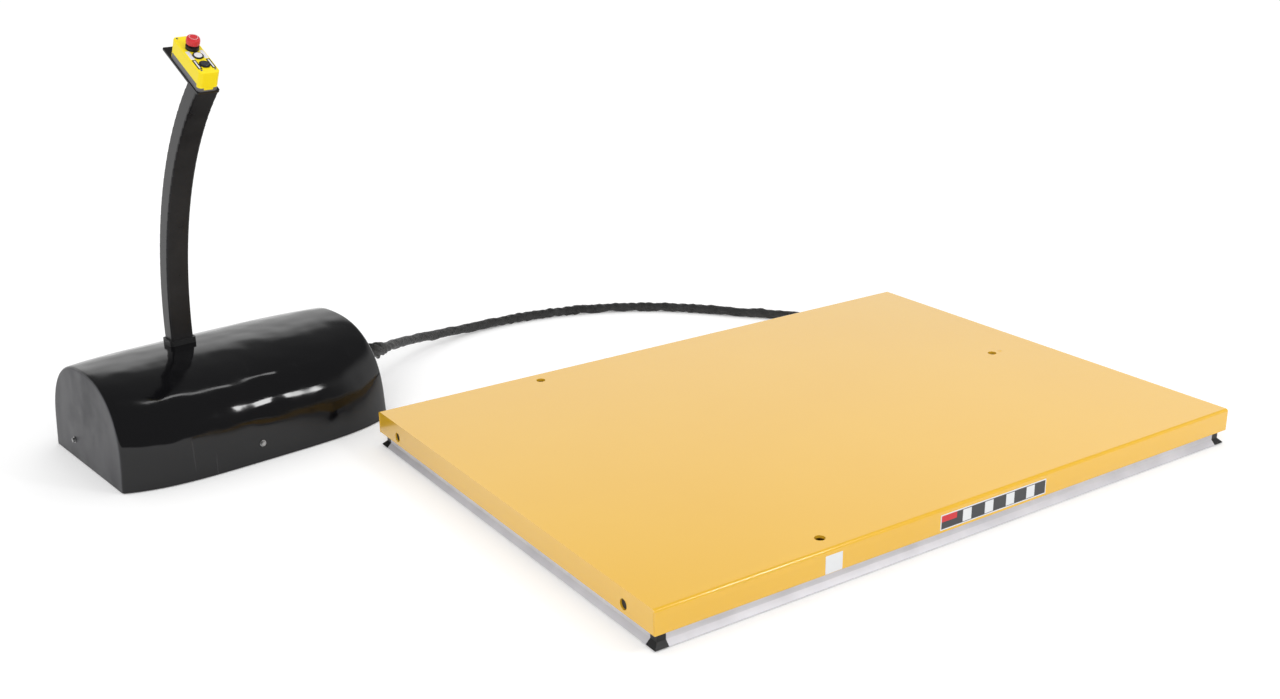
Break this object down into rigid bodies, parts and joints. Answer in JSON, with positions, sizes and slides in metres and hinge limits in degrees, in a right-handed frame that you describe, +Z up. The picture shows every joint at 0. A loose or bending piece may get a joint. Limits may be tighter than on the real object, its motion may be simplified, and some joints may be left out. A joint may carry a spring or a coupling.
{
  "type": "scissor lift table",
  "caption": "Low-profile electro-hydraulic scissor lift table with a separate covered power pack, control post and hand station.",
  "frame": {"origin": "on the floor under the middle of the deck", "axes": "+X along the deck's long side away from the pivots, +Y towards the power pack's side, +Z up"},
  "size_m": [2.2258, 1.7669, 0.9728],
  "materials": {
    "deck_paint": "glossy warm orange-yellow powder paint",
    "steel": "plain turned or rolled steel",
    "roller_steel": "ground steel wheel",
    "chrome_rod": "hard chromed rod",
    "cylinder_paint": "black paint",
    "bar_aluminium": "mill finished extrusion",
    "black_plastic": "moulded black plastic",
    "cover_plastic": "glossy black moulded shell",
    "post_paint": "satin black paint",
    "grey_plastic": "grey moulded plastic",
    "yellow_plastic": "yellow moulded plastic",
    "red_plastic": "red moulded plastic",
    "white_plastic": "white button",
    "dark_plastic": "dark grey button",
    "sleeve_textile": "woven protective sleeve over the hose",
    "rubber": "moulded rubber",
    "spring_steel": "spring wire",
    "motor_paint": "grey paint on cast housing",
    "tank_plastic": "translucent white plastic",
    "zinc": "zinc plated steel"
  },
  "bodies": {
    "root": {"base_rail_front": "deck_paint", "base_rail_rear": "deck_paint", "base_cross_ends": "deck_paint", "base_cross_middle": "deck_paint", "base_pivots": "deck_paint", "cylinder_anchors": "deck_paint", "hose_gland": "zinc", "oil_pipes": "steel", "pack_base": "zinc", "pack_motor": "motor_paint", "pack_pump_block": "motor_paint", "pack_solenoid_valve": "zinc", "pack_oil_tank": "tank_plastic", "pack_contactor_box": "black_plastic", "pack_cover": "cover_plastic", "pack_cover_bolts": "zinc", "hose_grommet": "rubber", "control_post": "post_paint", "post_collar": "black_plastic", "station_plate": "post_paint", "station_lower_housing": "grey_plastic", "station_upper_housing": "yellow_plastic", "station_screws": "zinc", "stop_collar": "black_plastic", "button_collars": "black_plastic", "hose_sleeve": "sleeve_textile"},
    "outer_arms": {"outer_arm_front": "deck_paint", "outer_arm_rear": "deck_paint", "outer_arm_pins": "steel"},
    "inner_arms": {"inner_arm_front": "deck_paint", "inner_arm_rear": "deck_paint", "inner_end_tubes": "deck_paint", "inner_middle_tube": "deck_paint", "rod_lugs": "deck_paint", "bottom_roller_pins": "steel"},
    "platform": {"platform_deck": "deck_paint", "platform_skirt_left": "deck_paint", "platform_skirt_right": "deck_paint", "platform_ribs": "deck_paint", "platform_pivots": "deck_paint", "top_tracks": "steel", "bar_guides": "steel", "trip_springs": "spring_steel", "trip_switches": "black_plastic"},
    "trip_bar": {"trip_bar_front": "bar_aluminium", "trip_bar_rear": "bar_aluminium", "trip_bar_ends": "bar_aluminium", "trip_bar_corners": "black_plastic"},
    "barrels": {"cylinder_barrels": "cylinder_paint"},
    "rods": {"cylinder_rods": "chrome_rod"},
    "top_roller_front": {"top_roller_front": "roller_steel"},
    "top_roller_rear": {"top_roller_rear": "roller_steel"},
    "bottom_roller_front": {"bottom_roller_front": "roller_steel"},
    "bottom_roller_rear": {"bottom_roller_rear": "roller_steel"},
    "fan": {"pack_fan": "black_plastic"},
    "stop_stem": {"stop_stem": "zinc"},
    "stop_cap": {"stop_cap": "red_plastic"},
    "up_button": {"up_button": "white_plastic"},
    "down_button": {"down_button": "dark_plastic"}
  },
  "joints": [
    {"name": "lift", "type": "hinge", "parent": "root", "child": "outer_arms", "pos_m": [-0.69, 0, 0.032], "axis": [0, -1, 0], "range_deg": [0, 34.32]},
    {"name": "arm_cross", "type": "hinge", "parent": "outer_arms", "child": "inner_arms", "pos_m": [-0.00006, 0, 0.041], "axis": [0, -1, 0], "range_deg": [-68.64, 0]},
    {"name": "platform_level", "type": "hinge", "parent": "inner_arms", "child": "platform", "pos_m": [-0.69, 0, 0.05], "axis": [0, -1, 0], "range_deg": [0, 34.32]},
    {"name": "barrel_swing", "type": "hinge", "parent": "root", "child": "barrels", "pos_m": [-0.06, 0, 0.026], "axis": [0, -1, 0], "range_deg": [0, 63.4]},
    {"name": "rod_stroke", "type": "slide", "parent": "barrels", "child": "rods", "axis": [0.993, 0, 0.118], "range_m": [0, 0.0681]},
    {"name": "top_roller_front_roll", "type": "hinge", "parent": "outer_arms", "child": "top_roller_front", "pos_m": [0.68988, 0, 0.05], "axis": [0, 1, 0], "continuous": true},
    {"name": "top_roller_rear_roll", "type": "hinge", "parent": "outer_arms", "child": "top_roller_rear", "pos_m": [0.68988, 0, 0.05], "axis": [0, 1, 0], "continuous": true},
    {"name": "bottom_roller_front_roll", "type": "hinge", "parent": "inner_arms", "child": "bottom_roller_front", "pos_m": [0.68988, 0, 0.032], "axis": [0, 1, 0], "continuous": true},
    {"name": "bottom_roller_rear_roll", "type": "hinge", "parent": "inner_arms", "child": "bottom_roller_rear", "pos_m": [0.68988, 0, 0.032], "axis": [0, 1, 0], "continuous": true},
    {"name": "trip_bar_lift", "type": "slide", "parent": "platform", "child": "trip_bar", "axis": [0, 0, 1], "range_m": [0, 0.01], "stiffness_N_per_m": 500, "springref_m": -0.02, "deforming": ["trip_springs"]},
    {"name": "fan_spin", "type": "hinge", "parent": "root", "child": "fan", "pos_m": [-1.27644, 0.77622, 0.088], "axis": [0.9928, 0.1201, 0], "continuous": true},
    {"name": "stop_push", "type": "slide", "parent": "root", "child": "stop_stem", "axis": [-0.0568, 0.4691, -0.8813], "range_m": [0, 0.004]},
    {"name": "stop_twist", "type": "hinge", "parent": "stop_stem", "child": "stop_cap", "pos_m": [-1.11355, 0.64541, 0.95286], "axis": [0.0568, -0.4691, 0.8813], "range_deg": [0, 30], "stiffness_Nm_per_rad": 0.05},
    {"name": "up_push", "type": "slide", "parent": "root", "child": "up_button", "axis": [-0.0568, 0.4691, -0.8813], "range_m": [0, 0.003], "stiffness_N_per_m": 400, "springref_m": -0.002},
    {"name": "down_push", "type": "slide", "parent": "root", "child": "down_button", "axis": [-0.0568, 0.4691, -0.8813], "range_m": [0, 0.003], "stiffness_N_per_m": 400, "springref_m": -0.002}
  ],
  "couplings": [
    {"joint": "arm_cross", "follows": "lift", "ratio": -2},
    {"joint": "platform_level", "follows": "lift", "ratio": 1},
    {"joint": "barrel_swing", "follows": "lift", "ratio": 1.8469},
    {"joint": "rod_stroke", "follows": "lift", "m_per_rad": 0.11356}
  ]
}
